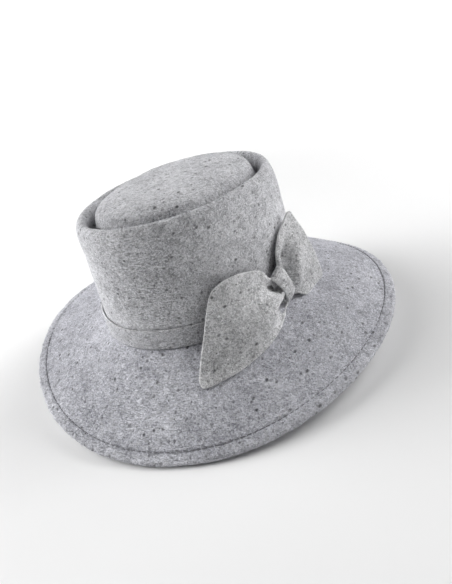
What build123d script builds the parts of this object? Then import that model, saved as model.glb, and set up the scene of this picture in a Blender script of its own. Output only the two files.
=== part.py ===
from build123d import *
import math
import os

# Wide-brimmed felt hat with a telescope crown: a turned and wired brim hem, a narrow felt band, a
# two-leaf felt bow on the wearer's left and a grosgrain sweatband.
# +Z is up, the front of the hat faces -Y and the wearer's left is +X. Millimetres.
# Heights are first measured from the head plane, the level shoulder where brim and crown meet.
# The finished parts are raised so that the lowest point of the brim stands at Z = 0.

# Driving dimensions
FELT = 2.6                     # crown felt
BRIM_FELT = 2.2
GAP = 0.3                      # play between neighbouring layers
CROWN_BASE = (88.0, 106.0)     # outer half widths at the head plane, across and front to back
CROWN_WAIST = (86.8, 103.4)    # half way up
CROWN_TOP = (83.5, 106.5)      # at the ridge's widest line
CROWN_HEIGHT = 96.0            # crest of the ridge above the head plane
CROWN_RAKE = 0.045             # rise of the crown top per millimetre towards the front
RIDGE_R = 6.5                  # roll of the ridge round the top
GROOVE_DEPTH = 12.5
TIP_RISE = 9.0                 # centre of the tip above the crest
TIP_INSET = 46.0               # from the ridge to the level middle of the tip
BRIM_EDGE = (171.0, 178.0)     # half widths over the brim's edge
DROP_MEAN = 37.5               # fall of the edge below the head plane
DROP_LEFT = 8.0                # extra fall on the left side, less on the right
DROP_FRONT = 4.5               # extra fall at the front, less at the back
DROP_SADDLE = 11.0             # lift of both sides against front and back
SHOULDER = 6.2                 # level ring of the brim outside the collar
COLLAR_HEIGHT = 14.0
HEM_DEPTH = 10.0               # turned-under width, from the wire
CAVITY_R = 1.25                # fold of the hem round the wire
EDGE_R = CAVITY_R + BRIM_FELT  # outside of the rolled edge
ROLL_LENGTH = 6.5              # from the wire to where the roll meets the flat hem
WIRE_R = 0.6
WIRE_GAP = 0.2                 # degrees from the back to each end of the wire
ROD_FLATS = 12                 # the rod's round section, as flats
JOINER_R = 1.1
JOINER_LENGTH = 20.0
JOINER_PLAY = 0.06
BAND_HEIGHT = 17.0
BAND_FELT = 1.7
BAND_ANGLE = -21.5             # ends of the band, under the bow's knot
SWEATBAND_HEIGHT = 26.0
SWEATBAND_FELT = 0.8
THREAD_R = 0.25
STITCH_LENGTH = 3.6
STITCH_PITCH = 5.0
STITCH_INSET = 7.0             # hem stitching, inside the wire
SECTIONS = 12                  # sections in half a turn of a lofted ring
ROD_STEP = 7.5                 # degrees between the sections of a rod
SAMPLES = 26                   # points along the crown's section


def drop(angle):
    """Fall of the brim's edge below the head plane at an angle in degrees, 0 at the left side."""
    a = math.radians(angle)
    tilt = DROP_LEFT * math.cos(a) - DROP_FRONT * math.sin(a)
    return DROP_MEAN + tilt - DROP_SADDLE * math.cos(2 * a)


REST_HEIGHT = max(drop(a) for a in range(360)) + EDGE_R   # head plane above the surface it stands on


def inset(ring, amount):
    """Half widths of an oval, reduced by the same amount all round."""
    return ring[0] - amount, ring[1] - amount


def on_ring(ring, angle, height=0.0):
    """Point on an oval at a parameter angle in degrees."""
    a = math.radians(angle)
    return Vector(ring[0] * math.cos(a), ring[1] * math.sin(a), height)


def polar_radius(ring, angle):
    """Distance from the axis to an oval in the direction of an angle in degrees."""
    a = math.radians(angle)
    return ring[0] * ring[1] / math.hypot(ring[1] * math.cos(a), ring[0] * math.sin(a))


def half_turns(section, start=90.0, end=450.0):
    """Loft a section function of the angle into two halves and join them."""
    middle = (start + end) / 2
    halves = []
    for low, high in ((start, middle), (middle, end)):
        faces = [section(low + (high - low) * i / SECTIONS) for i in range(SECTIONS + 1)]
        halves.append(loft(faces))
    return halves[0] + halves[1]


def oval_tube(outer, thickness, height):
    """Straight tube with an oval outline, standing on Z = 0."""
    inner = inset(outer, thickness)
    return extrude(Ellipse(*outer) - Ellipse(*inner), amount=height)


# Crown

def crown_line():
    """Outside of the crown as (distance in from the ridge's widest line, height) points."""
    crest = CROWN_HEIGHT
    floor = crest - GROOVE_DEPTH
    top = crest + TIP_RISE
    return [
        (0, 0.6), (0, 18), (0, 40), (0, 62), (0, 78), (0, crest - RIDGE_R - 3),
        (0.4, crest - RIDGE_R + 2), (2.2, crest - 1.6), (RIDGE_R - 0.8, crest),
        (RIDGE_R + 3.2, crest - 2.0), (RIDGE_R + 5.2, crest - 7), (RIDGE_R + 7.5, floor),
        (RIDGE_R + 10.5, floor + 1.2), (RIDGE_R + 12.5, floor + 7), (RIDGE_R + 14.5, crest - 0.5),
        (RIDGE_R + 18.5, crest + 3.8), (RIDGE_R + 26, top - 1.6), (TIP_INSET - 4, top), (TIP_INSET, top),
    ]


def crown_offset_lines():
    """Outside line of the crown and the line one felt thickness inside it."""
    curve = Spline([(x, 0, z) for x, z in crown_line()])
    outer = []
    inner = []
    for i in range(SAMPLES + 1):
        t = i / SAMPLES
        point = curve @ t
        along = curve % t
        outer.append((point.X, point.Z))
        inner.append((point.X + along.Z * FELT, point.Z - along.X * FELT))
    return outer, inner


def crown_wall_ring(height):
    """Half widths of the crown's outside at a height: upright behind the band, then by way of the waist."""
    s = min(max((height - BAND_HEIGHT) / (CROWN_HEIGHT - RIDGE_R - BAND_HEIGHT), 0.0), 1.0)
    base = (1 - s) * (1 - 2 * s)
    waist = 4 * s * (1 - s)
    top = s * (2 * s - 1)
    return tuple(base * b + waist * w + top * t for b, w, t in zip(CROWN_BASE, CROWN_WAIST, CROWN_TOP))


def crown_point(angle, x, z):
    """Place a point of the crown's section in the vertical plane at an angle."""
    a = math.radians(angle)
    r = polar_radius(crown_wall_ring(z), angle) - x
    rake = -CROWN_RAKE * r * math.sin(a) * min(max(z - 20, 0) / 60, 1.0)
    return Vector(r * math.cos(a), r * math.sin(a), z + rake)


def make_crown():
    outer, inner = crown_offset_lines()

    def section(angle):
        outside = [crown_point(angle, x, z) for x, z in outer]
        inside = [crown_point(angle, x, z) for x, z in inner]
        edges = [
            Spline(outside),
            Line(outside[-1], inside[-1]),
            Spline(inside[::-1]),
            Line(inside[0], outside[0]),
        ]
        return Face(Wire(edges))

    shell = half_turns(section)
    top = CROWN_HEIGHT + TIP_RISE
    disc = extrude(Ellipse(*inset(CROWN_TOP, TIP_INSET - 1.0)), amount=40)
    tilt = math.degrees(math.atan(CROWN_RAKE))
    above = Plane((0, 0, top - 0.2)).rotated((-tilt, 0, 0))
    below = Plane((0, 0, top - FELT + 0.2)).rotated((-tilt, 0, 0))
    disc = split(Pos(0, 0, top - 20) * disc, bisect_by=above, keep=Keep.BOTTOM)
    disc = split(disc, bisect_by=below, keep=Keep.TOP)
    return shell + disc


# Brim

COLLAR = inset(CROWN_BASE, FELT + GAP)
WIRE_RING = inset(BRIM_EDGE, EDGE_R)


def brim_frame(angle):
    """Section frame at an angle: collar point, outward direction, wire centre and slope of the felt."""
    start = on_ring(COLLAR, angle)
    wire = on_ring(WIRE_RING, angle)
    out = wire - start
    run = out.length - SHOULDER
    fall = drop(angle) - GAP
    reach = math.hypot(run, fall)
    top_layer = BRIM_FELT + GAP / 2
    slope = math.atan2(fall, run) - math.asin(top_layer / reach)
    return start, out.normalized(), out.length, slope


def brim_section_point(angle, u, v):
    """Point at u along the felt outward from the wire and v above it, square to the felt."""
    start, out, length, slope = brim_frame(angle)
    h = length + u * math.cos(slope) + v * math.sin(slope)
    z = -drop(angle) - u * math.sin(slope) + v * math.cos(slope)
    return start + out * h + Vector(0, 0, z)


def make_brim():
    layer = BRIM_FELT + GAP / 2
    reach = math.hypot(ROLL_LENGTH, layer)
    tangent = math.atan2(layer, -ROLL_LENGTH) - math.acos(EDGE_R / reach)
    roll_u = EDGE_R * math.cos(tangent)
    roll_v = EDGE_R * math.sin(tangent)
    mouth = math.sqrt(CAVITY_R ** 2 - (GAP / 2) ** 2)
    low = -GAP - BRIM_FELT
    foot_r = 3.0
    foot_far = foot_r * (1 - math.sqrt(0.5))

    def section(angle):
        start, out, length, slope = brim_frame(angle)

        def collar(h, z):
            return start + out * h + Vector(0, 0, z)

        def felt(u, v):
            return brim_section_point(angle, u, v)

        bend = SHOULDER - BRIM_FELT * math.tan(slope / 2)
        foot_top = collar(-BRIM_FELT, low + foot_r)
        top = [
            collar(-BRIM_FELT, COLLAR_HEIGHT), collar(0, COLLAR_HEIGHT), collar(0, -GAP),
            collar(SHOULDER, -GAP), felt(-ROLL_LENGTH, layer), felt(roll_u, roll_v),
        ]
        under = [
            felt(roll_u, -roll_v), felt(-ROLL_LENGTH, -layer), felt(-HEM_DEPTH, -layer),
            felt(-HEM_DEPTH, -GAP / 2), felt(-mouth, -GAP / 2),
        ]
        back = [
            felt(-mouth, GAP / 2), collar(bend, low), collar(foot_r - BRIM_FELT, low),
        ]
        edges = [Line(a, b) for a, b in zip(top, top[1:])]
        edges.append(ThreePointArc(top[-1], felt(EDGE_R, 0), under[0]))
        edges += [Line(a, b) for a, b in zip(under, under[1:])]
        edges.append(ThreePointArc(under[-1], felt(CAVITY_R, 0), back[0]))
        edges += [Line(a, b) for a, b in zip(back, back[1:])]
        edges.append(ThreePointArc(back[-1], collar(foot_far - BRIM_FELT, low + foot_far), foot_top))
        edges.append(Line(foot_top, top[0]))
        return Face(Wire(edges))

    return half_turns(section)


def ring_rod(radius, start, end):
    """Rod of flats along the wire's line between two angles."""
    def section(angle):
        collar_point, out, length, slope = brim_frame(angle)
        middle = collar_point + out * length - Vector(0, 0, drop(angle))
        square = out.cross(Vector(0, 0, 1))
        return Plane(middle, x_dir=out, z_dir=square) * RegularPolygon(radius, ROD_FLATS)

    steps = max(round((end - start) / ROD_STEP), 2)
    return loft([section(start + (end - start) * i / steps) for i in range(steps + 1)])


def make_wire():
    """Spring wire in the hem's fold, open at the back."""
    return ring_rod(WIRE_R, 90 + WIRE_GAP, 450 - WIRE_GAP)


def make_wire_joiner():
    """Tube crimped over both ends of the wire."""
    half = math.degrees(JOINER_LENGTH / 2 / WIRE_RING[0])
    tube = ring_rod(JOINER_R, 90 - half, 90 + half)
    hole = ring_rod(WIRE_R + JOINER_PLAY, 90 - half - WIRE_GAP, 90 + half + WIRE_GAP)
    return tube - hole


# Stitches

def stitch(a, b):
    """One straight stitch between two points."""
    along = b - a
    return extrude(Plane(a, z_dir=along.normalized()) * Circle(THREAD_R), amount=along.length)


def stitch_ring(place, ring):
    """Row of stitches round an oval, where place(angle) gives a point of the row."""
    around = math.pi * (ring[0] + ring[1])
    count = round(around / STITCH_PITCH)
    share = STITCH_LENGTH / STITCH_PITCH
    turns = [360 * i / count for i in range(count)]
    return [stitch(place(t), place(t + 360 / count * share)) for t in turns]


def make_hem_thread(side):
    """Hem stitches seen on one side of the brim: +1 the needle side above, -1 the bobbin side below."""
    lift = side * (BRIM_FELT + GAP / 2 + THREAD_R + 0.05)
    row = stitch_ring(lambda t: brim_section_point(t, -STITCH_INSET, lift), WIRE_RING)
    return Compound(children=row)


def make_crown_seam():
    """Stitches that hold the crown's foot to the collar, covered by the band."""
    ring = inset(CROWN_BASE, -THREAD_R - 0.05)
    row = stitch_ring(lambda t: on_ring(ring, t, 7.0), ring)
    return Compound(children=row)


def make_sweatband_stitches():
    """Stitches that hold the sweatband's lower edge to the collar."""
    ring = inset(COLLAR, BRIM_FELT + GAP + SWEATBAND_FELT + THREAD_R + 0.15)
    row = stitch_ring(lambda t: on_ring(ring, t, 3.0), ring)
    return Compound(children=row)


# Bands

BAND_IN = inset(CROWN_BASE, -2 * THREAD_R - 0.25)


def make_band():
    """Narrow felt band, a little wider at its foot, with its ends meeting under the knot."""
    foot = inset(BAND_IN, -0.9)

    def section(angle):
        points = [
            on_ring(foot, angle, 0), on_ring(inset(foot, -BAND_FELT), angle, 0),
            on_ring(inset(BAND_IN, -BAND_FELT), angle, BAND_HEIGHT), on_ring(BAND_IN, angle, BAND_HEIGHT),
        ]
        return Face(Wire.make_polygon(points, close=True))

    slit = 0.25
    return half_turns(section, BAND_ANGLE + slit, BAND_ANGLE + 360 - slit)


def make_sweatband():
    """Grosgrain sweatband, a ring whose ends meet at the back."""
    outer = inset(COLLAR, BRIM_FELT + GAP)
    ring = oval_tube(outer, SWEATBAND_FELT, SWEATBAND_HEIGHT)
    slit = Pos(0, outer[1], SWEATBAND_HEIGHT / 2) * Box(0.6, 10, SWEATBAND_HEIGHT + 2)
    return ring - slit


def make_band_tacks():
    """Three short tacks across the ends of the band."""
    span = 1.8
    tacks = []
    for height in (4.0, 8.5, 13.0):
        lean = 0.9 * (1 - height / BAND_HEIGHT)
        ring = inset(BAND_IN, -BAND_FELT - lean - THREAD_R - 0.1)
        tacks.append(stitch(on_ring(ring, BAND_ANGLE - span, height), on_ring(ring, BAND_ANGLE + span, height)))
    return Compound(children=tacks)


# Bow

KNOT_TURN = 21.0               # lean of the knot, its head towards the front
KNOT_TILT = -6.0               # foot of the knot further out than its head
KNOT_LEVEL = 13.5              # middle of the knot above the head plane
KNOT_WIDTH = 12.0
KNOT_HEIGHT = 30.0
KNOT_DEPTH = 9.0
KNOT_FELT = 2.0
KNOT_STAND = 0.4               # knot clear of its tacks
LEAF_FELT = 2.2
TONGUE = 3.0                   # leaf inside the knot
TONGUE_PLAY = 4.0              # above and below the tongue, inside the knot
TONGUE_ROOT = 6.0              # tongue within the leaf


def knot_place():
    """Frame at the knot's middle: X outward from the hat, Y towards the back, Z up along the knot."""
    foot = on_ring(inset(BAND_IN, -BAND_FELT - 1.6), BAND_ANGLE, KNOT_LEVEL)
    normal = math.degrees(math.atan2(foot.Y * CROWN_BASE[0] ** 2, foot.X * CROWN_BASE[1] ** 2))
    return Location(foot, (0, 0, normal)) * Rot(KNOT_TURN, 0, 0) * Rot(0, KNOT_TILT, 0)


def make_knot():
    """Felt strap round the waist of the bow: a closed loop with rounded corners."""
    corner = 4.0
    loop = RectangleRounded(KNOT_DEPTH, KNOT_HEIGHT, corner)
    hole = RectangleRounded(KNOT_DEPTH - 2 * KNOT_FELT, KNOT_HEIGHT - 2 * KNOT_FELT, corner - KNOT_FELT)
    strap = extrude(Plane.XZ * (loop - hole), amount=KNOT_WIDTH / 2, both=True)
    return knot_place() * Pos(KNOT_STAND + KNOT_DEPTH / 2, 0, 0) * strap


def leaf_shell(foot_line):
    """Flared oval shell that follows the crown's wall above and leans out over the brim below."""
    outer_line = []
    for i, (x, z) in enumerate(foot_line):
        before = foot_line[max(i - 1, 0)]
        after = foot_line[min(i + 1, len(foot_line) - 1)]
        dx = after[0] - before[0]
        dz = after[1] - before[1]
        size = math.hypot(dx, dz)
        outer_line.append((x + dz / size * LEAF_FELT, z - dx / size * LEAF_FELT))
    inner = [Vector(x, 0, z) for x, z in foot_line]
    outer = [Vector(x, 0, z) for x, z in outer_line[::-1]]
    profile = Wire([Spline(inner), Line(inner[-1], outer[0]), Spline(outer), Line(outer[-1], inner[0])])
    turned = revolve(Face(profile), Axis.Z)
    return scale(turned, by=(CROWN_BASE[0] / CROWN_BASE[1], 1, 1))


def leaf_outline(points, direction):
    """Prism of a leaf's outline, cast outward along a direction in degrees."""
    c = math.cos(math.radians(direction))
    s = math.sin(math.radians(direction))
    face_plane = Plane((0, 0, 0), x_dir=(-s, c, 0), z_dir=(c, s, 0))
    outline = make_face(Spline(points, periodic=True))
    return extrude(face_plane * outline, amount=200)


def make_leaf(line, points, direction, side):
    """A leaf cut from its shell, with a tongue that reaches into the knot; side is -1 front, +1 rear."""
    room = 160
    knot_side = KNOT_WIDTH / 2 + GAP
    outside = knot_place() * Pos(0, side * (knot_side + room / 2), 0) * Box(room, room, room)
    leaf = leaf_shell(line) & leaf_outline(points, direction) & outside
    tongue = Box(LEAF_FELT, TONGUE + TONGUE_ROOT, KNOT_HEIGHT - 2 * KNOT_FELT - 2 * TONGUE_PLAY)
    middle = side * (KNOT_WIDTH / 2 + (TONGUE_ROOT - TONGUE) / 2)
    return leaf + knot_place() * Pos(KNOT_STAND + KNOT_DEPTH / 2, middle, 0) * tongue


FRONT_LINE = [(109.0, 50), (109.6, 34), (111.0, 20), (115.5, 8.5), (124.0, -2), (136.5, -12.5), (150, -23.5)]
FRONT_POINTS = [(50, 28), (32, 38.5), (9, 43), (-14, 41), (-27, 24), (-34, 3), (-44, -12), (-45, -20),
                (-36, -21), (-16, -17), (8, -12), (36, -5), (50, 4)]
FRONT_DIRECTION = -52.0
REAR_LINE = [(108.6, 70), (109.2, 50), (110.5, 30), (113.5, 16), (119.0, 5), (127.0, -3), (136, -8.5)]
REAR_POINTS = [(-36, 30), (-30, 43), (-3, 60), (7, 50), (11, 30), (12, 8), (10, -4), (-4, -4), (-20, -3),
               (-36, 2)]
REAR_DIRECTION = 0.0


def make_bow_tacks():
    """Two stitches over the band that hold the knot's loop to the hat."""
    reach = KNOT_WIDTH / 2 + 2.0
    tacks = []
    for height in (-7.0, 7.0):
        left = knot_place() * Pos(0.1, -reach, height)
        right = knot_place() * Pos(0.1, reach, height)
        tacks.append(stitch(left.position, right.position))
    return Compound(children=tacks)


def main():
    parts = {
        "crown": make_crown(),
        "brim": make_brim(),
        "brim_wire": make_wire(),
        "wire_joiner": make_wire_joiner(),
        "hem_needle_thread": make_hem_thread(1),
        "hem_bobbin_thread": make_hem_thread(-1),
        "crown_seam_stitches": make_crown_seam(),
        "hat_band": make_band(),
        "band_tack_stitches": make_band_tacks(),
        "bow_front_leaf": make_leaf(FRONT_LINE, FRONT_POINTS, FRONT_DIRECTION, -1),
        "bow_rear_leaf": make_leaf(REAR_LINE, REAR_POINTS, REAR_DIRECTION, 1),
        "bow_knot": make_knot(),
        "bow_tack_stitches": make_bow_tacks(),
        "sweatband": make_sweatband(),
        "sweatband_stitches": make_sweatband_stitches(),
    }
    os.makedirs("parts", exist_ok=True)
    for name, shape in parts.items():
        export_step(Pos(0, 0, REST_HEIGHT) * shape, f"parts/{name}.step")


main()
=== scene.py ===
import math

import bpy
import numpy as np
from mathutils import Matrix, Vector, noise


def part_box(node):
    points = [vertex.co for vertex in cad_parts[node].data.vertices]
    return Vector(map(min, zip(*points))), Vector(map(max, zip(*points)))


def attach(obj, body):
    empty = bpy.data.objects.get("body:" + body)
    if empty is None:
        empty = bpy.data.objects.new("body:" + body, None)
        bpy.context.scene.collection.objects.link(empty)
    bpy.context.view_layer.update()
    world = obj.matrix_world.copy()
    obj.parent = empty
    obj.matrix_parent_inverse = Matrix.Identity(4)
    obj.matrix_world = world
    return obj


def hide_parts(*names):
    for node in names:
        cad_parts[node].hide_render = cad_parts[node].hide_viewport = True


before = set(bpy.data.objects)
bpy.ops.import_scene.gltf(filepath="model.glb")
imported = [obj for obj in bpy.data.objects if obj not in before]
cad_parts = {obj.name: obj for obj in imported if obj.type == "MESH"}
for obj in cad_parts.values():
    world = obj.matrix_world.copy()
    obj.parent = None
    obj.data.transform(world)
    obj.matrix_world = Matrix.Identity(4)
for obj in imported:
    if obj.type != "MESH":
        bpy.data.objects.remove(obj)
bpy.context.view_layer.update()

# Grey wool-felt hat: telescope crown, wired brim, felt band and bow, grosgrain sweatband.
# Shapes are worked out in millimetres above the head plane, where the band's foot stands, then
# turned into metres in the frame. -Y is the front and +X the wearer's left.

MM = 0.001
HEAD = float(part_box("hat_band")[0][2])     # head plane, in metres
TURN = 2 * math.pi

FELT = 2.6                      # crown felt
BRIM_FELT = 2.2
GAP = 0.3                       # play between neighbouring layers
CROWN_BASE = (88.0, 106.0)      # outer half widths at the head plane, across and front to back
CROWN_WAIST = (86.8, 103.4)     # half way up
CROWN_TOP = (83.5, 106.5)       # at the ridge's widest line
CROWN_HEIGHT = 96.0             # crest of the ridge above the head plane
CROWN_RAKE = 0.045              # rise of the crown top per millimetre towards the front
RIDGE_R = 6.5                   # from the ridge's widest line up to its crest
GROOVE_DEPTH = 12.5             # below the crest
TIP_RISE = 9.0                  # middle of the tip above the crest
TIP_INSET = 46.0                # from the ridge to the level middle of the tip
BRIM_EDGE = (171.0, 178.0)      # half widths over the brim's edge
DROP_MEAN = 37.5                # fall of the edge below the head plane
DROP_LEFT = 8.0                 # extra fall on the left side, less on the right
DROP_FRONT = 4.5                # extra fall at the front, less at the back
DROP_SADDLE = 11.0              # lift of both sides against front and back
SHOULDER = 6.2                  # level ring of the brim outside the collar
COLLAR_HEIGHT = 14.0
HEM_DEPTH = 10.0                # turned-under width, from the wire
CAVITY_R = 1.25                 # fold of the hem round the wire
EDGE_R = CAVITY_R + BRIM_FELT   # outside of the rolled edge
HEM_START = 13.3                # from the wire in to where the brim's arch ends
HEM_LIFT = 0.15                 # fullness of the double felt
HEM_REACH = 3.0                 # roll of the edge beyond the wire
BAND_HEIGHT = 17.0
BAND_FELT = 1.7
BAND_ANGLE = math.radians(-21.5)  # ends of the band, under the bow's knot
SWEATBAND_FELT = 0.8
STITCH_INSET = 7.0              # hem stitching, inside the wire
STITCH_PITCH = 5.0
STITCH_LENGTH = 3.9
STITCH_GROOVE = 0.5             # depth to which the stitching pulls the felt in
STITCH_SINK = 0.5               # dive of a stitch's ends into the felt
LEAF_FELT = 2.0                 # both leaves of the bow
KNOT_TURN = math.radians(21.0)  # lean of the knot, its head towards the front
KNOT_TILT = math.radians(-6.0)  # foot of the knot further out than its head
KNOT_LEVEL = 13.5               # middle of the knot above the head plane
KNOT_DEPTH = 9.0
KNOT_HEIGHT = 30.0
KNOT_FELT = 2.0
KNOT_STAND = 0.4                # knot clear of its tacks
KNOT_FOOT = 1.6                 # foot of the knot outside the band


def oval(ring, amount):
    """Half widths of an oval reduced by an amount all round."""
    return ring[0] - amount, ring[1] - amount


COLLAR = oval(CROWN_BASE, FELT + GAP)
WIRE_RING = oval(BRIM_EDGE, EDGE_R)
BAND_IN = oval(CROWN_BASE, -0.75)
SWEATBAND_OUT = oval(COLLAR, BRIM_FELT + GAP)
SWEATBAND_IN = oval(SWEATBAND_OUT, SWEATBAND_FELT + 0.02)


# Mesh helpers

SPAN = 24     # points from one knot of a smooth line to the next


def to_metres(points):
    """Points in millimetres above the head plane, as metres in the frame."""
    return np.asarray(points, float).reshape(-1, 3) * MM + (0, 0, HEAD)


def grid_faces(rows, columns, close_rows=False, close_columns=False, start=0):
    """Quads of a grid of points, optionally closed in either direction."""
    i = np.arange(rows if close_rows else rows - 1)
    j = np.arange(columns if close_columns else columns - 1)
    i, j = (a.ravel() for a in np.meshgrid(i, j, indexing="ij"))
    up, along = (i + 1) % rows, (j + 1) % columns
    quads = np.stack([i * columns + j, up * columns + j, up * columns + along, i * columns + along], 1)
    return (quads + start).tolist()


def volume(points, faces):
    """Signed volume inside a closed mesh, positive when its faces look outward."""
    total = 0.0
    for size in {len(f) for f in faces}:
        group = np.array([f for f in faces if len(f) == size])
        corner = points[group[:, 0]]
        for k in range(1, size - 1):
            total += np.einsum("ij,ij->", corner, np.cross(points[group[:, k]], points[group[:, k + 1]]))
    return total / 6


def make_piece(name, points, faces, material, replaces=(), edge=None):
    """Smooth mesh object that rides on the hat and stands for CAD nodes."""
    if volume(points, faces) < 0:
        faces = [f[::-1] for f in faces]
    mesh = bpy.data.meshes.new(name)
    mesh.from_pydata(to_metres(points).tolist(), [], faces)
    mesh.validate()
    mesh.shade_smooth()
    if edge is not None:
        # The edge attribute holds how much painted edge highlight each point gets.
        layer = mesh.attributes.new("edge", "FLOAT", "POINT")
        layer.data.foreach_set("value", np.ascontiguousarray(edge, np.float32).ravel())
    obj = bpy.data.objects.new(name, mesh)
    bpy.context.scene.collection.objects.link(obj)
    mesh.materials.append(material)
    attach(obj, "root")
    if replaces:
        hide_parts(*replaces)
    return obj


def waves(points, size, seed, octaves=2):
    """Smooth noise of about -1 to 1 at each point, with features of a size in millimetres."""
    shift = Vector((seed * 7.3, seed * 3.1, seed * 5.7))
    return np.array([noise.fractal(Vector(p) / size + shift, 0.8, 2.0, octaves) for p in points])


def mesh_normals(points, faces):
    """Vertex normals of a quad mesh, area weighted."""
    quads = np.array(faces)
    diagonal = np.cross(points[quads[:, 2]] - points[quads[:, 0]], points[quads[:, 3]] - points[quads[:, 1]])
    normals = np.zeros_like(points)
    for k in range(4):
        np.add.at(normals, quads[:, k], diagonal)
    return normals / np.maximum(np.linalg.norm(normals, axis=1, keepdims=True), 1e-9)


def roughen(points, faces, weight, layers, seed):
    """Move points along their normals by felt irregularity: layers are (feature size, depth) in mm."""
    normals = mesh_normals(points, faces)
    depth = sum(waves(points, size, seed + k) * amount for k, (size, amount) in enumerate(layers))
    return points + normals * (depth * weight)[:, None]


def spline(knots):
    """Catmull-Rom curve through knots, with SPAN points from each knot to the next."""
    k = np.asarray(knots, float)
    k = np.vstack([2 * k[0] - k[1], k, 2 * k[-1] - k[-2]])
    t = np.linspace(0, 1, SPAN, endpoint=False)[:, None]
    spans = []
    for a, b, c, d in zip(k, k[1:], k[2:], k[3:]):
        spans.append(0.5 * (2 * b + (c - a) * t + (2 * a - 5 * b + 4 * c - d) * t ** 2
                            + (3 * b - a - 3 * c + d) * t ** 3))
    return np.vstack(spans + [k[-2:-1]])


def resample(line, count):
    """Points evenly spaced along a polyline."""
    steps = np.concatenate([[0], np.cumsum(np.linalg.norm(np.diff(line, axis=0), axis=1))])
    at = np.linspace(0, steps[-1], count)
    return np.stack([np.interp(at, steps, line[:, k]) for k in range(line.shape[1])], 1)


def smooth_line(knots, count):
    """Smooth curve through knots, with count points evenly spaced along it."""
    return resample(spline(knots), count)


def hump(value, centre, width):
    """Smooth bump of height 1 at a centre."""
    return np.exp(-((value - centre) / width) ** 2)


# Materials

class Nodes:
    """Short names for building a material's nodes."""

    def __init__(self, name):
        self.material = bpy.data.materials.new(name)
        self.material.use_nodes = True
        self.tree = self.material.node_tree
        self.bsdf = self.tree.nodes["Principled BSDF"]
        self.place = self.add("ShaderNodeTexCoord").outputs["Object"]

    def add(self, kind, **values):
        node = self.tree.nodes.new(kind)
        for key, value in values.items():
            setattr(node, key, value)
        return node

    def link(self, source, target):
        self.tree.links.new(source, target)

    def feed(self, node, socket, value):
        """Link a socket's value to another node's output, or set it to a constant."""
        if isinstance(value, bpy.types.NodeSocket):
            self.link(value, node.inputs[socket])
        else:
            node.inputs[socket].default_value = value

    def math(self, operation, a, b=0.0, c=0.0):
        node = self.add("ShaderNodeMath", operation=operation)
        for k, value in enumerate((a, b, c)):
            self.feed(node, k, value)
        return node.outputs[0]

    def noise(self, size, detail=2.0, rough=0.5, place=None):
        """Noise with features of a size in millimetres."""
        node = self.add("ShaderNodeTexNoise")
        self.link(place or self.place, node.inputs["Vector"])
        self.feed(node, "Scale", 1.0 / (size * MM))
        self.feed(node, "Detail", detail)
        self.feed(node, "Roughness", rough)
        return node.outputs["Fac"]

    def cells(self, size, place=None):
        """Scattered cells of a size in millimetres, each with its own random colour."""
        node = self.add("ShaderNodeTexVoronoi", feature="F1")
        self.link(place or self.place, node.inputs["Vector"])
        self.feed(node, "Scale", 1.0 / (size * MM))
        return node

    def turned(self, angles, stretch):
        """Place turned by angles in degrees and scaled by a factor on each axis."""
        node = self.add("ShaderNodeMapping")
        self.link(self.place, node.inputs["Vector"])
        node.inputs["Rotation"].default_value = [math.radians(a) for a in angles]
        node.inputs["Scale"].default_value = stretch
        return node.outputs["Vector"]

    def span(self, value, low, high, to_low=0.0, to_high=1.0):
        """Map a range of a value to another, held at its ends."""
        node = self.add("ShaderNodeMapRange", interpolation_type="SMOOTHSTEP")
        sockets = ("Value", "From Min", "From Max", "To Min", "To Max")
        for socket, number in zip(sockets, (value, low, high, to_low, to_high)):
            self.feed(node, socket, number)
        return node.outputs["Result"]

    def blend(self, share, a, b):
        """Colour a, with a share of colour b."""
        node = self.add("ShaderNodeMix", data_type="RGBA", blend_type="MIX")
        self.feed(node, 0, share)
        self.feed(node, 6, a)
        self.feed(node, 7, b)
        return node.outputs[2]

    def bump(self, height, depth, strength=1.0, under=None):
        """Normal for a relief of a depth in millimetres, laid over another where one is given."""
        node = self.add("ShaderNodeBump")
        self.link(height, node.inputs["Height"])
        node.inputs["Distance"].default_value = depth * MM
        node.inputs["Strength"].default_value = strength
        if under is not None:
            self.link(under, node.inputs["Normal"])
        return node.outputs["Normal"]

    def channels(self, colour):
        """Red, green and blue of a colour."""
        node = self.add("ShaderNodeSeparateColor")
        self.link(colour, node.inputs[0])
        return node.outputs

    def attribute(self, name):
        return self.add("ShaderNodeAttribute", attribute_name=name).outputs["Fac"]


def grey(value, blue=0.0):
    """Neutral grey, a little bluer when blue is above 0."""
    return (value * (1 - 0.6 * blue), value * (1 - 0.55 * blue), value * (1 + blue), 1.0)


def dyed(colour, strength):
    """Colour made lighter or darker by a factor."""
    return (*[c * strength for c in colour], 1.0)


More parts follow.
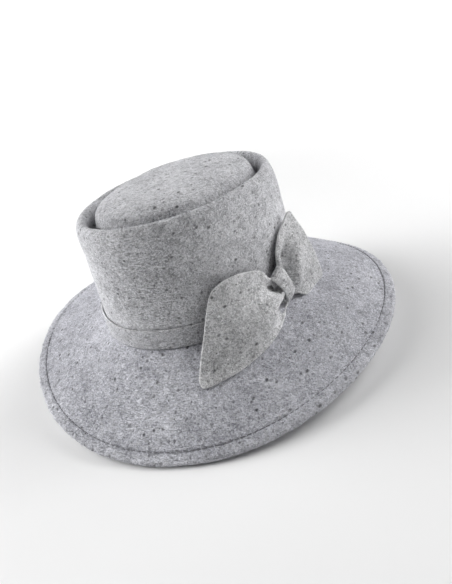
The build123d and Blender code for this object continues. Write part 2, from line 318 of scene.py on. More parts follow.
def felt_material(name, tone, blue):
    """Heather wool felt: clouded grey, salt-and-pepper fibres, dark neps, brushed nap, and paler edges
    painted on as a highlight.
    """
    n = Nodes(name)
    cloud = n.noise(45, 2.0, 0.55)
    blotch = n.noise(8, 3.0, 0.65)
    grain = n.noise(1.05, 3.0, 0.68)
    fleck = n.channels(n.cells(1.35).outputs["Color"])
    light = n.math("MULTIPLY_ADD", n.math("SUBTRACT", cloud, 0.5), 0.42, 0.52)
    for source, share in ((blotch, 0.60), (grain, 1.05), (fleck[0], 0.26)):
        light = n.math("ADD", light, n.math("MULTIPLY", n.math("SUBTRACT", source, 0.5), share))
    base = n.blend(n.span(light, 0.05, 0.95), grey(tone * 0.34, blue * 2.2), grey(tone * 1.60, blue * 0.8))
    hairs = []
    for angles in ((20, 35, 10), (70, -25, 60), (-40, 15, 120), (10, 80, -35)):
        strand = n.noise(1.1, 1.0, 0.5, n.turned(angles, (0.22, 1.7, 1.7)))
        hairs.append(n.span(strand, 0.60, 0.70))
    pale = n.math("MAXIMUM", hairs[0], hairs[1])
    dark = n.math("MAXIMUM", hairs[2], hairs[3])
    base = n.blend(n.math("MULTIPLY", pale, 0.34), base, grey(tone * 1.75))
    base = n.blend(n.math("MULTIPLY", dark, 0.45), base, grey(tone * 0.28, blue))
    patch = n.noise(30, 2.0, 0.5, n.turned((40, 10, 70), (1.0, 1.3, 0.8)))
    stain = n.math("MULTIPLY", n.span(blotch, 0.50, 0.72), n.span(patch, 0.46, 0.62))
    base = n.blend(n.math("MULTIPLY", stain, 0.34), base, grey(tone * 0.42, blue * 3.0))
    for size, keep, radius in ((6.2, 0.75, 0.21), (3.5, 0.28, 0.17)):
        nep = n.cells(size, place=n.turned((15, 25, 40), (1.0, 0.75, 1.2)))
        pick = n.channels(nep.outputs["Color"])
        core = n.span(nep.outputs["Distance"], radius * 0.35, radius * 1.45, 1.0, 0.0)
        chosen = n.math("MULTIPLY", core, n.math("LESS_THAN", pick[1], keep))
        chosen = n.math("MULTIPLY", chosen, n.span(pick[0], 0.0, 1.0, 0.30, 0.92))
        base = n.blend(chosen, base, grey(tone * 0.09, blue))
    # Painted highlight: paler colour where the edge attribute is set, along cut and rolled edges.
    base = n.blend(n.math("MULTIPLY", n.attribute("edge"), 0.50), base, grey(tone * 1.50))
    n.link(base, n.bsdf.inputs["Base Color"])
    n.bsdf.inputs["Roughness"].default_value = 0.95
    n.bsdf.inputs["Specular IOR Level"].default_value = 0.15
    n.bsdf.inputs["Sheen Weight"].default_value = 0.22
    n.bsdf.inputs["Sheen Roughness"].default_value = 0.55
    n.bsdf.inputs["Sheen Tint"].default_value = (0.9, 0.91, 0.95, 1)
    raised = n.math("MULTIPLY", pale, 0.6)
    fibres = n.math("ADD", raised, n.math("ADD", grain, n.math("MULTIPLY", hairs[2], 0.4)))
    coarse = n.bump(blotch, 1.6, 0.6)
    n.link(n.bump(fibres, 1.0, 1.0, coarse), n.bsdf.inputs["Normal"])
    return n.material


def thread_material(name, colour):
    """Twisted sewing thread."""
    n = Nodes(name)
    twist = n.add("ShaderNodeTexWave", wave_type="BANDS", bands_direction="DIAGONAL")
    n.link(n.place, twist.inputs["Vector"])
    twist.inputs["Scale"].default_value = 900
    twist.inputs["Distortion"].default_value = 1.5
    lint = n.noise(0.3, 2.0)
    shade = n.blend(twist.outputs["Fac"], dyed(colour, 0.55), dyed(colour, 1.35))
    shade = n.blend(n.math("MULTIPLY", lint, 0.4), shade, dyed(colour, 1.8))
    n.link(shade, n.bsdf.inputs["Base Color"])
    n.bsdf.inputs["Roughness"].default_value = 0.7
    n.bsdf.inputs["Sheen Weight"].default_value = 0.3
    n.link(n.bump(twist.outputs["Fac"], 0.12, 0.9), n.bsdf.inputs["Normal"])
    return n.material


def grosgrain_material():
    """Ribbed ribbon: fine weft over the modelled ribs, with a slight silk sheen."""
    n = Nodes("grosgrain_ribbon")
    weft = n.add("ShaderNodeTexWave", wave_type="BANDS", bands_direction="Z")
    n.link(n.place, weft.inputs["Vector"])
    weft.inputs["Scale"].default_value = 420
    weft.inputs["Distortion"].default_value = 0.6
    patch = n.noise(6, 2.0)
    wear = n.span(patch, 0.35, 0.75)
    shade = n.blend(weft.outputs["Fac"], (0.018, 0.018, 0.021, 1), (0.060, 0.060, 0.067, 1))
    shade = n.blend(n.math("MULTIPLY", wear, 0.35), shade, (0.075, 0.075, 0.082, 1))
    n.link(shade, n.bsdf.inputs["Base Color"])
    n.link(n.span(patch, 0.2, 0.8, 0.42, 0.62), n.bsdf.inputs["Roughness"])
    n.bsdf.inputs["Sheen Weight"].default_value = 0.4
    n.bsdf.inputs["Sheen Roughness"].default_value = 0.35
    n.link(n.bump(weft.outputs["Fac"], 0.10, 0.8), n.bsdf.inputs["Normal"])
    return n.material


def metal_material(name, colour, rough):
    """Drawn metal with fine scratches."""
    n = Nodes(name)
    scratch = n.noise(0.4, 3.0, 0.6, n.turned((0, 0, 30), (0.15, 2.0, 2.0)))
    shade = n.blend(n.span(n.noise(3, 2.0), 0.3, 0.7), dyed(colour, 0.7), dyed(colour, 1.0))
    n.link(shade, n.bsdf.inputs["Base Color"])
    n.bsdf.inputs["Metallic"].default_value = 1.0
    n.link(n.span(scratch, 0.3, 0.7, rough * 0.7, rough * 1.4), n.bsdf.inputs["Roughness"])
    n.link(n.bump(scratch, 0.04, 0.5), n.bsdf.inputs["Normal"])
    return n.material


CROWN_LOOK = felt_material("felt_crown", 0.64, 0.025)
BRIM_LOOK = felt_material("felt_brim", 0.60, 0.055)
BOW_LOOK = felt_material("felt_bow", 0.66, 0.012)
BAND_LOOK = felt_material("felt_band", 0.58, 0.028)
THREAD = thread_material("sewing_thread", (0.16, 0.16, 0.175))
RIBBON = grosgrain_material()
SPRING_WIRE = metal_material("spring_wire", (0.62, 0.62, 0.64), 0.35)
FERRULE = metal_material("ferrule_metal", (0.80, 0.66, 0.38), 0.3)


# Crown

TIP_SPAN = 60.0      # of the outline, from TIP_INSET to the middle of the tip


def crown_wall(height):
    """Half widths of the crown's outside at heights: upright behind the band, then by way of the waist."""
    s = np.clip((height - BAND_HEIGHT) / (CROWN_HEIGHT - RIDGE_R - BAND_HEIGHT), 0, 1)
    base, waist, top = (1 - s) * (1 - 2 * s), 4 * s * (1 - s), s * (2 * s - 1)
    return [base * b + waist * w + top * t for b, w, t in zip(CROWN_BASE, CROWN_WAIST, CROWN_TOP)]


def crown_points(angle, x, z):
    """Points of the crown at polar angles, x in from the wall's line and z above the head plane."""
    a, b = crown_wall(z)
    c, s = np.cos(angle), np.sin(angle)
    reach = a * b / np.hypot(b * c, a * s)
    inner = np.clip((x - TIP_INSET) / TIP_SPAN, 0, 1)
    r = np.where(x <= TIP_INSET, reach - x, (reach - TIP_INSET) * (1 - inner))
    rake = -CROWN_RAKE * r * s * np.clip((z - 20) / 60, 0, 1)
    return np.stack([r * c, r * s, z + rake], -1)


def crown_line():
    """Outside of the crown as (distance in, height): wall, ridge, groove, domed tip."""
    crest = CROWN_HEIGHT
    floor = crest - GROOVE_DEPTH
    top = crest + TIP_RISE
    knots = [
        (0, 0.6), (0, 20), (0, 45), (0, 66), (0, crest - 18), (0.3, crest - 12), (1.1, crest - 7.2),
        (2.8, crest - 2.9), (5.4, crest - 0.4), (8.4, crest - 0.4), (10.8, crest - 3.4), (12.0, crest - 7.6),
        (13.6, floor + 0.8), (15.8, floor + 0.2), (17.6, floor + 3.2), (18.8, floor + 8), (20.4, crest - 0.6),
        (23.8, crest + 3.2), (31.5, top - 2.6), (TIP_INSET - 4, top - 0.4), (TIP_INSET + 14, top + 0.9),
        (TIP_INSET + 40, top + 1.5), (TIP_INSET + TIP_SPAN - 0.5, top + 1.7),
    ]
    return smooth_line(knots, 240)


def make_crown():
    """Blocked felt crown, its inside one felt thickness from its outside."""
    turns = 420
    outer = crown_line()
    along = np.gradient(outer, axis=0)
    along /= np.linalg.norm(along, axis=1, keepdims=True)
    inner = outer + np.stack([along[:, 1], -along[:, 0]], 1) * FELT
    inner[outer[:, 0] > TIP_INSET, 0] = outer[outer[:, 0] > TIP_INSET, 0]
    line = np.vstack([outer, inner[::-2]])
    angle = np.linspace(0, TURN, turns, endpoint=False)[:, None]
    points = crown_points(angle, line[None, :, 0], line[None, :, 1]).reshape(-1, 3)
    faces = grid_faces(turns, len(line), close_rows=True, close_columns=True)
    # Outside and inside each end in a small ring at the middle of the tip, closed by a fan of triangles.
    pole_out, pole_in = len(outer) - 1, len(outer)
    faces = [f for f in faces if f[0] % len(line) != pole_out]
    centre_out = points.reshape(turns, -1, 3)[:, pole_out].mean(0)
    centre_in = points.reshape(turns, -1, 3)[:, pole_in].mean(0)
    outside = np.arange(len(points)) % len(line) < len(outer)
    height = points[:, 2]
    weight = np.where(outside, np.clip((height - 3) / 10, 0, 1), 0.5 * np.clip((height - 18) / 8, 0, 1))
    points = roughen(points, faces, weight, ((60, 0.9), (14, 0.28), (3.2, 0.10)), 11)
    points = np.vstack([points, centre_out, centre_in])
    last = len(points)
    for i in range(turns):
        k = (i + 1) % turns
        faces.append((i * len(line) + pole_out, k * len(line) + pole_out, last - 2))
        faces.append((k * len(line) + pole_in, i * len(line) + pole_in, last - 1))
    # The crown gets no painted edge highlight.
    no_edge_highlight = np.zeros(len(points))
    piece = make_piece("crown_felt", points, faces, CROWN_LOOK, ("crown",), no_edge_highlight)
    return piece


# Brim

SHOULDER_BEND = 2.2     # softness of the break at the shoulder, on top
UNDER_BEND = 3.0        # the same on the underside
ARCH = 1.3              # rise of the brim above a straight line to the hem
HEEL_R = 3.0            # turn of the underside into the collar


def drop(angle):
    """Fall of the brim's edge below the head plane."""
    sides = DROP_LEFT * np.cos(angle)
    return DROP_MEAN + sides - DROP_FRONT * np.sin(angle) - DROP_SADDLE * np.cos(2 * angle)


class BrimFrame:
    """Sections of the brim at an array of angles: where the collar is, the way out and the felt's slope."""

    def __init__(self, angle):
        c, s = np.cos(angle), np.sin(angle)
        self.start = np.stack([COLLAR[0] * c, COLLAR[1] * s, 0 * c], -1)
        wire = np.stack([WIRE_RING[0] * c, WIRE_RING[1] * s, 0 * c], -1)
        out = wire - self.start
        self.length = np.linalg.norm(out, axis=-1)
        self.out = out / self.length[..., None]
        self.fall = drop(angle)
        run, fall = self.length - SHOULDER, self.fall - GAP
        self.slope = np.arctan2(fall, run) - np.arcsin((BRIM_FELT + GAP / 2) / np.hypot(run, fall))

    def place(self, h, z):
        """Points at h outward from the collar and z above the head plane."""
        return self.start + self.out * h[..., None] + np.stack([0 * z, 0 * z, z], -1)

    def felt(self, u, v):
        """Points u outward of the wire along the felt and v above it."""
        c, s = np.cos(self.slope), np.sin(self.slope)
        return self.place(self.length + u * c + v * s, -self.fall - u * s + v * c)


def stitch_groove(u):
    """Depth to which the stitching pulls the felt in, u outward of the wire."""
    return STITCH_GROOVE * math.exp(-((u + STITCH_INSET) / 0.7) ** 2)


def make_brim():
    """Wired brim as one skin: collar, top, rolled edge, turned hem, the fold round the wire, underside."""
    turns = 720
    angle = np.linspace(0, TURN, turns, endpoint=False)[:, None]
    f = BrimFrame(angle)
    layer = BRIM_FELT + GAP / 2
    columns, weights, edges, fuzz = [], [], [], []
    ones = np.ones_like(angle)

    def add(points, weight, edge=0.0, fuzzy=0.0):
        columns.append(points.reshape(turns, 3))
        weights.append(weight)
        edges.append(edge)
        fuzz.append(fuzzy)

    def collar(h, z, weight=0.0):
        add(f.place(ones * h, ones * z), weight)

    def felt(u, v, weight, edge=0.0, fuzzy=0.0):
        add(f.felt(ones * u, ones * v), weight, edge, fuzzy)

    for z in (COLLAR_HEIGHT, 8, 2.5, 0.9):
        collar(0, z)
    collar(0.35, 0.15)
    collar(1.2, -GAP)
    collar(3.5, -GAP, 0.3)
    # Top of the felt: a soft break at the shoulder, then a slight arch out to the hem.
    hem_start = f.length - HEM_START * np.cos(f.slope)
    for w in np.linspace(0.0, 1.0, 46) ** 1.15:
        h = 5.0 + (hem_start - 5.0) * w
        bend = np.sqrt((h - SHOULDER) ** 2 + SHOULDER_BEND ** 2)
        z = -GAP - np.tan(f.slope) * ((h - SHOULDER) + bend - SHOULDER_BEND * 0.9) / 2
        arch = ARCH * np.sin(math.pi * w) * w
        add(f.place(h, z + arch), 1.0)
    # Double felt of the hem with its stitch groove, then the roll round the edge.
    for u in np.linspace(-HEM_START, -5.5, 25)[1:]:
        lift = HEM_LIFT / (1 + math.exp(-(u + STITCH_INSET - 1.2) * 2.2))
        felt(u, layer - stitch_groove(u) + lift, 1.0, 0.0, 0.4)
    # The edge values here paint a faint highlight along the roll round the wire.
    for u in (-4.4, -3.2, -2.1, -1.0):
        felt(u, layer + HEM_LIFT, 1.0, 0.1, 0.8)
    for k in range(17):
        a = math.radians(90 - 180 * k / 16)
        felt(HEM_REACH * math.cos(a), (layer + HEM_LIFT) * math.sin(a), 1.0, 0.2, 1.0)
    for u in (-2.0, -3.6, -5.0):
        felt(u, -layer - HEM_LIFT, 1.0, 0.0, 0.6)
    for u in np.linspace(-5.8, -9.4, 10):
        felt(u, stitch_groove(u) - layer - HEM_LIFT, 0.8)
    # Cut end of the turned-under felt, then the fold's inside round the wire.
    # The cut end gets a strong painted highlight through its edge values.
    for u, v, edge in ((-9.85, layer - 0.3, 0.8), (-HEM_DEPTH, layer - 0.7, 1.0), (-HEM_DEPTH, 0.6, 1.0),
                       (-HEM_DEPTH + 0.1, GAP / 2, 0.5)):
        felt(u, -v, 0.2, edge)
    for u in (-7.0, -4.0, -1.6):
        felt(u, -GAP / 2, 0.0)
    for k in range(13):
        a = math.radians(-165 + 330 * k / 12)
        felt(CAVITY_R * math.cos(a), CAVITY_R * math.sin(a), 0.0)
    for u in (-1.6, -4.0, -7.0, -10.0):
        felt(u, GAP / 2, 0.0)
    # Underside, about one felt thickness below the top, then the heel that turns up into the collar.
    for w in 1 - np.linspace(0.0, 1.0, 36):
        h = 3.0 + (hem_start - 3.0) * w
        bend = np.sqrt((h - SHOULDER + 0.8) ** 2 + UNDER_BEND ** 2)
        z = -GAP - np.tan(f.slope) * ((h - SHOULDER) + bend - 2.6) / 2 - BRIM_FELT / np.cos(f.slope)
        arch = ARCH * np.sin(math.pi * w) * w
        add(f.place(h, z + arch), 0.8 * min(1.0, 4 * (1 - w) + 0.1, 3 * w + 0.1))
    low = -GAP - BRIM_FELT
    for k in range(7):
        a = math.radians(-90 - 90 * k / 6)
        collar(HEEL_R * (1 + math.cos(a)) - BRIM_FELT, low + HEEL_R * (1 + math.sin(a)), 0.1)
    for z in (4, 9, COLLAR_HEIGHT - 0.4):
        collar(-BRIM_FELT, z)
    collar(-BRIM_FELT + 0.4, COLLAR_HEIGHT)
    points = np.stack(columns, 1).reshape(-1, 3)
    faces = grid_faces(turns, len(columns), close_rows=True, close_columns=True)
    points = roughen(points, faces, np.tile(weights, turns), ((90, 0.8), (16, 0.22), (3.0, 0.16)), 31)
    points = roughen(points, faces, np.tile(fuzz, turns), ((6, 0.50), (2.0, 0.42)), 37)
    piece = make_piece("brim_felt", points, faces, BRIM_LOOK, ("brim",),
                       np.tile(edges, turns))
    return piece


# Stitches

def stitch_row(name, place, ring, radius, replaces):
    """Row of thread stitches along a ring. place(angle, lift) gives points; each stitch dives at its ends."""
    steps, sides = 9, 8
    count = round(math.pi * (ring[0] + ring[1]) / STITCH_PITCH)
    t = np.linspace(0, 1, steps)
    start = np.linspace(0, TURN, count, endpoint=False)
    angle = start[:, None] + TURN / count * (STITCH_LENGTH / STITCH_PITCH) * t[None]
    lift = radius * 0.7 - STITCH_SINK * np.abs(2 * t - 1) ** 4
    line = place(angle, np.broadcast_to(lift, angle.shape))
    along = np.gradient(line, axis=1)
    along /= np.linalg.norm(along, axis=-1, keepdims=True)
    up = place(angle, np.broadcast_to(lift + 1.0, angle.shape)) - line
    up -= (up * along).sum(-1, keepdims=True) * along
    up /= np.linalg.norm(up, axis=-1, keepdims=True)
    side = np.cross(along, up)
    around = np.linspace(0, TURN, sides, endpoint=False)
    width = radius * np.minimum(1, 0.35 + 3.2 * np.minimum(t, 1 - t)) ** 0.5
    section = up[..., None, :] * np.cos(around)[:, None] + side[..., None, :] * np.sin(around)[:, None]
    points = line[..., None, :] + section * width[None, :, None, None]
    faces = []
    for k in range(count):
        base = k * steps * sides
        faces += [f[::-1] for f in grid_faces(steps, sides, close_columns=True, start=base)]
        faces.append(tuple(base + np.arange(sides)))
        faces.append(tuple(base + (steps - 1) * sides + np.arange(sides))[::-1])
    return make_piece(name, points.reshape(-1, 3), faces, THREAD, replaces)


def hem_place(sign):
    """Places along the hem's stitch line, on top of the brim for sign 1 and under it for -1."""
    def place(angle, lift):
        level = sign * (BRIM_FELT + GAP / 2 - 0.40 + lift)
        return BrimFrame(angle).felt(-STITCH_INSET + 0 * angle, level)
    return place


def inside_place(ring, height):
    """Places along the inside of an oval ring, at one height."""
    def place(angle, lift):
        a, b = ring[0] - lift, ring[1] - lift
        return np.stack([a * np.cos(angle), b * np.sin(angle), height + 0 * angle], -1)
    return place


# Band and sweatband

def make_band():
    """Felt strip with rounded cut edges, standing a little off the brim, its ends under the knot."""
    turns = 400
    slit = 0.004
    angle = np.linspace(BAND_ANGLE + slit, BAND_ANGLE + TURN - slit, turns)[:, None]
    profile = [(0.0, 0.5), (0.0, 6), (0.0, 12), (0.0, 16.4), (0.35, 16.9), (0.9, 17.05), (1.35, 16.8),
               (1.68, 16.1), (1.75, 14), (1.72, 11), (1.70, 8), (1.72, 5), (1.75, 2.6), (1.7, 0.9),
               (1.3, 0.2), (0.8, 0.0), (0.3, 0.1)]
    # Painted highlight along the rounded top and bottom edges.
    edges = [0.2, 0, 0, 0.3, 0.7, 0.8, 0.7, 0.2, 0, 0, 0, 0, 0, 0.2, 0.7, 0.8, 0.6]
    h = np.array([p[0] for p in profile])[None]
    z = np.array([p[1] for p in profile])[None]
    flare = 0.9 * (1 - z / BAND_HEIGHT)
    sway = 0.35 * np.sin(3 * angle + 1.0) + 0.25 * np.sin(7 * angle)
    z = z + sway * z / BAND_HEIGHT
    a, b = BAND_IN[0] + flare + h, BAND_IN[1] + flare + h
    points = np.stack([a * np.cos(angle), b * np.sin(angle), z], -1).reshape(-1, 3)
    faces = grid_faces(turns, len(profile), close_columns=True)
    # Only the outside is roughened: the inside lies flat on the crown.
    weight = np.tile([0 if x < 0.3 else 0.8 for x, _ in profile], turns)
    points = roughen(points, faces, weight, ((25, 0.25), (3.0, 0.10)), 51)
    faces.append(tuple(range(len(profile)))[::-1])
    faces.append(tuple((turns - 1) * len(profile) + np.arange(len(profile))))
    piece = make_piece("band_felt", points, faces, BAND_LOOK, ("hat_band",),
                       np.tile(edges, turns))
    return piece


def make_sweatband():
    """Grosgrain ribbon: an upright rib each millimetre, thin woven edges, ends meeting at the back."""
    turns, ribs = 2400, 570
    rib_depth, slit = 0.10, 0.003
    angle = np.linspace(math.pi / 2 + slit, math.pi / 2 + TURN - slit, turns)[:, None]
    z = np.array([0.6, 1.1, 2.0, 5.5, 10, 15, 20, 24, 25.2, 25.8])[None]
    rib = rib_depth * np.cos(angle * ribs) * np.where((z > 1.5) & (z < 25), 1.0, 0.0)
    wave = 0.35 * np.sin(5 * angle + 0.7) * np.clip((z - 12) / 14, 0, 1)

    def skin(depth):
        """Ribbon's surface at a depth in from its outer ring."""
        a, b = (half - depth + wave * 0.5 for half in SWEATBAND_OUT)
        return np.stack([a * np.cos(angle), b * np.sin(angle), z + 0 * angle], -1)

    points = np.concatenate([skin(SWEATBAND_FELT - rib_depth + rib), skin(0.12)[:, ::-1]], 1)
    columns = points.shape[1]
    faces = [f[::-1] for f in grid_faces(turns, columns, close_columns=True)]
    faces.append(tuple(range(columns)))
    faces.append(tuple((turns - 1) * columns + np.arange(columns))[::-1])
    piece = make_piece("sweatband_ribbon", points.reshape(-1, 3), faces, RIBBON, ("sweatband",))
    return piece


# Bow

def felt_sheet(name, surface, replaces, seed):
    """Close a grid of surface points into a felt leaf with a rounded cut edge, painted paler as a highlight.
    """
    rim_steps = 5
    half = LEAF_FELT / 2
    rows, columns = surface.shape[:2]
    flat = surface.reshape(-1, 3)
    faces = grid_faces(rows, columns)
    normals = mesh_normals(flat, faces)
    number = np.arange(rows * columns).reshape(rows, columns)
    border = np.concatenate([number[:, 0], number[-1, 1:], number[-2::-1, -1], number[0, -2:0:-1]])
    count = len(border)
    line, normal = flat[border], normals[border]
    out = np.cross(np.roll(line, -1, 0) - np.roll(line, 1, 0), normal)
    out /= np.maximum(np.linalg.norm(out, axis=1, keepdims=True), 1e-9)
    # Painted highlight: faces next to the rim a little paler, the rounded rim itself fully paler.
    rim_highlight = np.zeros((rows, columns))
    rim_highlight[-1] = rim_highlight[:, 0] = rim_highlight[:, -1] = 0.55
    points = [flat + normals * half, flat - normals * half]
    edge = [rim_highlight.ravel(), rim_highlight.ravel()]
    rings = [border]
    for k in range(1, rim_steps):
        a = math.pi * k / rim_steps
        points.append(line + normal * half * math.cos(a) + out * half * 0.8 * math.sin(a))
        edge.append(np.ones(count))
        rings.append(2 * len(flat) + (k - 1) * count + np.arange(count))
    rings.append(border + len(flat))
    faces = faces + [tuple(np.array(f[::-1]) + len(flat)) for f in faces]
    for a, b in zip(rings, rings[1:]):
        for k in range(count):
            n = (k + 1) % count
            faces.append((a[n], a[k], b[k], b[n]))
    points = np.vstack(points)
    points = roughen(points, faces, np.ones(len(points)), ((22, 0.35), (3.0, 0.12)), seed)
    return make_piece(name, points, faces, BOW_LOOK, replaces, np.concatenate(edge))


def coons(outline, corners, rows, columns):
    """Patch inside a smooth outline that starts at the root's top. Its other corners, given by the number
    of their knot, are the far top, the far low and the root's low corner."""
    top, far, low = (SPAN * corner for corner in corners)
    full = spline(outline)
    a = resample(full[: top + 1], rows)
    b = resample(full[top: far + 1], columns)
    c = resample(full[far: low + 1], rows)[::-1]
    s = np.linspace(0, 1, rows)[:, None, None]
    t = np.linspace(0, 1, columns)[None, :, None]
    root = a[0] * (1 - t) + c[0] * t
    corner = (1 - s) * ((1 - t) * a[0] + t * c[0]) + s * ((1 - t) * a[-1] + t * c[-1])
    return (1 - t) * a[:, None] + t * c[:, None] + (1 - s) * root + s * b[None] - corner


def knot_axes():
    """Middle of the knot's foot and its axes: outward from the hat, towards the back, up the knot."""
    ring = oval(BAND_IN, -BAND_FELT - KNOT_FOOT)
    foot = np.array([ring[0] * math.cos(BAND_ANGLE), ring[1] * math.sin(BAND_ANGLE), KNOT_LEVEL])
    facing = math.atan2(foot[1] * CROWN_BASE[0] ** 2, foot[0] * CROWN_BASE[1] ** 2)
    turn = Matrix.Rotation(facing, 3, "Z")
    turn = turn @ Matrix.Rotation(KNOT_TURN, 3, "X") @ Matrix.Rotation(KNOT_TILT, 3, "Y")
    return foot, np.array(turn)


def knot_point(x, y, z):
    """Point given from the knot's foot, along its own axes."""
    foot, axes = knot_axes()
    return tuple(foot + axes @ (x, y, z))


def shape_leaf(patch, belly, folds):
    """Swell a leaf outward from the hat and crease it with folds in towards the knot."""
    outward = knot_axes()[1][:, 0]
    rows, columns = patch.shape[:2]
    normals = mesh_normals(patch.reshape(-1, 3), grid_faces(rows, columns))
    face = normals.mean(0)
    face *= np.sign(face @ outward) / np.linalg.norm(face)
    return patch + face * belly[..., None] + outward * folds[..., None]


def make_front_leaf():
    """Leaf over crown foot, band and brim: a dimple, a rolled fold and a hollow run out of the knot."""
    outline = [
        knot_point(3.8, -2.5, 12.0), knot_point(4.6, -8, 17.0),
        (80.5, -62.5, 38), (69, -77.5, 44), (57, -89.5, 42.5), (51, -95.5, 36),
        (47, -105, 20), (42.5, -116.5, 0.5), (40, -123.5, -11), (40.5, -128.5, -17.5), (44.5, -129.5, -20),
        (56, -122, -18.5), (68, -112.5, -16.5), (82, -94.5, -12.5), (90.5, -74, -8.0),
        knot_point(5.5, -12, -15.5), knot_point(3.8, -2.5, -12.5),
    ]
    rows, columns = 120, 100
    patch = coons(outline, (5, 10, 16), rows, columns)
    s = np.linspace(0, 1, rows)[:, None]
    t = np.linspace(0, 1, columns)[None, :]
    belly = 2.4 * np.sin(math.pi * s) * np.sin(math.pi * t) ** 0.8
    crest = 0.56 + 0.10 * s
    past = 1 / (1 + np.exp((crest + 0.03 - t) / 0.012))
    # In turn: the dimple, the rolled fold, the hollow past its crest, a soft swell, a shallow dish.
    folds = -6.5 * hump(t, 0.33 - 0.10 * s, 0.16) * hump(s, 0.08, 0.23)
    folds = folds + 4.0 * hump(t, crest, 0.13) * (1 - past) * hump(s, 0.12, 0.18)
    folds = folds - 8.5 * past * np.sin(math.pi * np.clip((1 - t) / 0.42, 0, 1)) ** 0.7 * hump(s, 0.08, 0.15)
    folds = folds + 5.6 * hump(t, 0.66, 0.17) * hump(s, 0.42, 0.26)
    folds = folds - 2.0 * hump(t, 0.34, 0.20) * hump(s, 0.55, 0.28)
    patch = shape_leaf(patch, belly, folds)
    piece = felt_sheet("front_leaf_felt", patch, ("bow_front_leaf",), 71)
    return piece


def make_rear_leaf():
    """Leaf that stands up along the crown's side, with a deep trough running up from the knot."""
    outline = [
        knot_point(4.4, 1.0, 12.0),
        (87.4, -38.5, 27.0), (86.8, -36.0, 36), (87.2, -32.0, 42.5), (88.6, -21.5, 48.3), (90.8, -8.0, 53),
        (93.6, 3.2, 57.6), (96.6, 3.6, 51.5), (100.4, 4.5, 42.5), (103.6, 6.0, 32), (106.8, 8.5, 16.5),
        (109.4, 8.5, 1), (110.3, 5, -5.4), (107, -10, -5.6), (103.5, -25, -5.6),
        knot_point(9.0, 6.0, -17.5), knot_point(6.6, 2.0, -13.0),
    ]
    rows, columns = 100, 90
    patch = coons(outline, (6, 12, 16), rows, columns)
    s = np.linspace(0, 1, rows)[:, None]
    t = np.linspace(0, 1, columns)[None, :]
    belly = 2.0 * np.sin(math.pi * s) * np.sin(math.pi * t)
    trough = 0.46 - 0.42 * s
    # In turn: the trough, the ridge beside it, the lip next to the crown.
    folds = -13.0 * hump(t, trough + 0.02, 0.12) * hump(s, 0.36, 0.21)
    folds = folds + 4.5 * hump(t, trough + 0.24, 0.12) * hump(s, 0.32, 0.30)
    folds = folds + 1.5 * hump(t, 0.03, 0.08) * hump(s, 0.33, 0.20)
    patch = shape_leaf(patch, belly, folds)
    piece = felt_sheet("rear_leaf_felt", patch, ("bow_rear_leaf",), 91)
    return piece


def make_knot():
    """Felt strap folded round the waist of the bow, drawn in a little at its middle."""
    steps, lanes = 120, 15
    turn = np.linspace(0, TURN, steps, endpoint=False)[:, None]
    w = np.linspace(-1, 1, lanes)[None]
    half_depth = (KNOT_DEPTH - KNOT_FELT) / 2
    half_height = (KNOT_HEIGHT - KNOT_FELT) / 2
    power = 2.9
    c, s = np.cos(turn), np.sin(turn)
    x = half_depth * np.sign(c) * np.abs(c) ** (2 / power)
    z = half_height * np.sign(s) * np.abs(s) ** (2 / power)
    front = np.maximum(c, 0)
    half_width = 6.3 - 0.9 * front * np.exp(-(z / 9) ** 2)
    crown = 1.1 * (1 - w ** 2) * front
    crease = -0.5 * hump(w, -0.35, 0.22) * front * np.exp(-((z - 6) / 8) ** 2)
    foot, axes = knot_axes()
    x = x + KNOT_DEPTH / 2 + KNOT_STAND
    local = np.stack([x + crown + crease, w * half_width, z + 0 * w], -1)
    return strap_loop("knot_felt", foot + local @ axes.T, ("bow_knot",))


def strap_loop(name, path, replaces):
    """Closed felt loop: outer and inner skins joined by rounded cut edges, painted paler as a highlight."""
    steps, lanes = path.shape[:2]
    flat = path.reshape(-1, 3)
    normals = mesh_normals(flat, grid_faces(steps, lanes, close_rows=True)).reshape(path.shape)
    if ((path - path.mean((0, 1))) * normals).sum() < 0:
        normals = -normals
    half = KNOT_FELT / 2
    side = path[:, -1] - path[:, 0]
    side /= np.linalg.norm(side, axis=1, keepdims=True)
    outer = path + normals * half
    inner = (path - normals * half)[:, ::-1]

    def cut_edge(lane, sign):
        """Half round from one skin to the other, along one side of the strap."""
        turns = [math.radians(k) for k in (45, 90, 135)]
        return np.stack([path[:, lane] + sign * half * (normals[:, lane] * math.cos(a) + side * math.sin(a))
                         for a in turns], 1)

    ring = np.concatenate([outer, cut_edge(-1, 1), inner, cut_edge(0, -1)], 1)
    columns = ring.shape[1]
    # Painted highlight: the cut edges fully paler, the outer skin's border lanes partly.
    edge = np.zeros(columns)
    edge[lanes: lanes + 3] = edge[-3:] = 1.0
    edge[[0, lanes - 1]] = 0.6
    faces = grid_faces(steps, columns, close_rows=True, close_columns=True)
    points = roughen(ring.reshape(-1, 3), faces, np.ones(steps * columns), ((12, 0.25), (2.5, 0.10)), 111)
    piece = make_piece(name, points, faces, BOW_LOOK, replaces, np.tile(edge, steps))
    return piece


# CAD nodes whose shape is right: better materials only.

def finish_node(name, material):
    """Give a CAD node its material."""
    node = bpy.data.objects[name]
    node.data.materials.clear()
    node.data.materials.append(material)


# Studio, in metres, with the lens in millimetres.
# Each light is (name, degrees round from the camera, degrees up, watts).

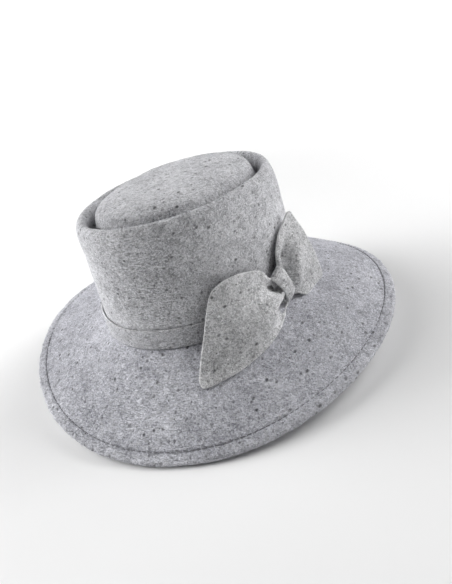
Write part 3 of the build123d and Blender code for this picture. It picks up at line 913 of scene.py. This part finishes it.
CAMERA_AZIMUTH = math.radians(26.1)
CAMERA_ELEVATION = math.radians(27.4)
CAMERA_ROLL = math.radians(16.2)
CAMERA_DISTANCE = 0.540
CAMERA_LENS = 33.1
CAMERA_TARGET = Vector((6.3, 25.0, -28.6)) * MM + Vector((0, 0, HEAD))
GLOW_BACK = (0.72, 0.72, 0.72, 1)
GLOW_FRONT = (0.04, 0.04, 0.04, 1)
WORLD_LIGHT = 0.02
LIGHT_AIM = Vector((0, 0, 0.09))
LIGHT_DISTANCE = 1.6
LIGHT_SIZE = 0.9
STUDIO_LIGHTS = [
    ("low_left", -110, 12, 20.0), ("low_rear_right", 110, 12, 12.2), ("low_right", 80, 12, 3.7),
    ("high_rear_left", -120, 40, 8.9), ("high_left", -90, 40, 9.9), ("high_right", 90, 40, 12.2),
]


def toward(azimuth, elevation):
    """Direction from the hat at angles round from the front, towards the wearer's left, and up."""
    level = math.cos(elevation)
    return Vector((math.sin(azimuth) * level, -math.cos(azimuth) * level, math.sin(elevation)))


def make_floor():
    """Pale floor that sweeps up all round, glowing softly behind the hat."""
    rows, turns = 70, 96
    knots = [(0.0, 0.0), (0.8, 0.0), (1.6, 0.0), (2.2, 0.04), (2.6, 0.2), (2.75, 0.5), (2.8, 0.9)]
    radius, height = smooth_line(knots, rows).T
    angle = np.linspace(0, TURN, turns, endpoint=False)[:, None]
    points = np.stack([radius * np.cos(angle), radius * np.sin(angle), height + 0 * angle], -1).reshape(-1, 3)
    mesh = bpy.data.meshes.new("studio_floor")
    mesh.from_pydata(points.tolist(), [], grid_faces(turns, rows, close_rows=True))
    mesh.shade_smooth()
    floor = bpy.data.objects.new("studio_floor", mesh)
    bpy.context.scene.collection.objects.link(floor)
    n = Nodes("studio_floor")
    shade = n.blend(n.noise(400, 2.0), (0.84, 0.84, 0.84, 1), (0.86, 0.86, 0.86, 1))
    n.link(shade, n.bsdf.inputs["Base Color"])
    n.bsdf.inputs["Roughness"].default_value = 0.9
    reach = n.add("ShaderNodeVectorMath", operation="LENGTH")
    n.link(n.place, reach.inputs[0])
    behind = n.add("ShaderNodeVectorMath", operation="DOT_PRODUCT")
    n.link(n.place, behind.inputs[0])
    behind.inputs[1].default_value = -toward(CAMERA_AZIMUTH, 0)
    far = n.span(reach.outputs["Value"], 0.35, 1.5)
    back = n.span(behind.outputs["Value"], -0.3, 1.0)
    glow = n.blend(back, GLOW_FRONT, GLOW_BACK)
    n.link(n.blend(far, (0, 0, 0, 1), glow), n.bsdf.inputs["Emission Color"])
    n.bsdf.inputs["Emission Strength"].default_value = 1.0
    mesh.materials.append(n.material)


def make_lights():
    """Soft lamps on both sides of the hat, which the camera doesn't see, and a faint world light."""
    world = bpy.data.worlds.new("studio")
    bpy.context.scene.world = world
    world.use_nodes = True
    background = world.node_tree.nodes["Background"]
    background.inputs[0].default_value = (1.0, 1.0, 1.0, 1)
    background.inputs[1].default_value = WORLD_LIGHT
    for name, side, up, power in STUDIO_LIGHTS:
        out = toward(CAMERA_AZIMUTH + math.radians(side), math.radians(up))
        lamp = bpy.data.lights.new(name, "AREA")
        lamp.size = LIGHT_SIZE
        lamp.energy = power
        obj = bpy.data.objects.new(name, lamp)
        obj.location = LIGHT_AIM + out * LIGHT_DISTANCE
        obj.rotation_euler = (-out).to_track_quat("-Z", "Y").to_euler()
        obj.visible_camera = False
        bpy.context.scene.collection.objects.link(obj)


def make_camera():
    """Camera in front on the wearer's left, looking down, rolled so that the hat leans in the picture."""
    back = toward(CAMERA_AZIMUTH, CAMERA_ELEVATION)
    right = (-back).cross(Vector((0, 0, 1))).normalized()
    up = right.cross(-back)
    rolled_right = right * math.cos(CAMERA_ROLL) - up * math.sin(CAMERA_ROLL)
    rolled_up = right * math.sin(CAMERA_ROLL) + up * math.cos(CAMERA_ROLL)
    data = bpy.data.cameras.new("camera")
    data.lens = CAMERA_LENS
    data.sensor_width = 36.0
    data.clip_start = 0.05
    camera = bpy.data.objects.new("camera", data)
    axes = Matrix((rolled_right, rolled_up, back)).transposed().to_4x4()
    axes.translation = CAMERA_TARGET + back * CAMERA_DISTANCE
    camera.matrix_world = axes
    bpy.context.scene.collection.objects.link(camera)
    bpy.context.scene.camera = camera
    view = bpy.context.scene.view_settings
    view.view_transform = "Standard"
    view.look = "None"


make_camera()
make_floor()
make_lights()
make_crown()
make_brim()
stitch_row("needle_stitches", hem_place(1), WIRE_RING, 0.36, ("hem_needle_thread",))
stitch_row("bobbin_stitches", hem_place(-1), WIRE_RING, 0.32, ("hem_bobbin_thread",))
make_band()
make_sweatband()
stitch_row("sweatband_thread", inside_place(SWEATBAND_IN, 3.0), SWEATBAND_IN, 0.28, ("sweatband_stitches",))
make_front_leaf()
make_rear_leaf()
make_knot()
for node, material in (("brim_wire", SPRING_WIRE), ("wire_joiner", FERRULE), ("crown_seam_stitches", THREAD),
                       ("band_tack_stitches", THREAD), ("bow_tack_stitches", THREAD)):
    finish_node(node, material)
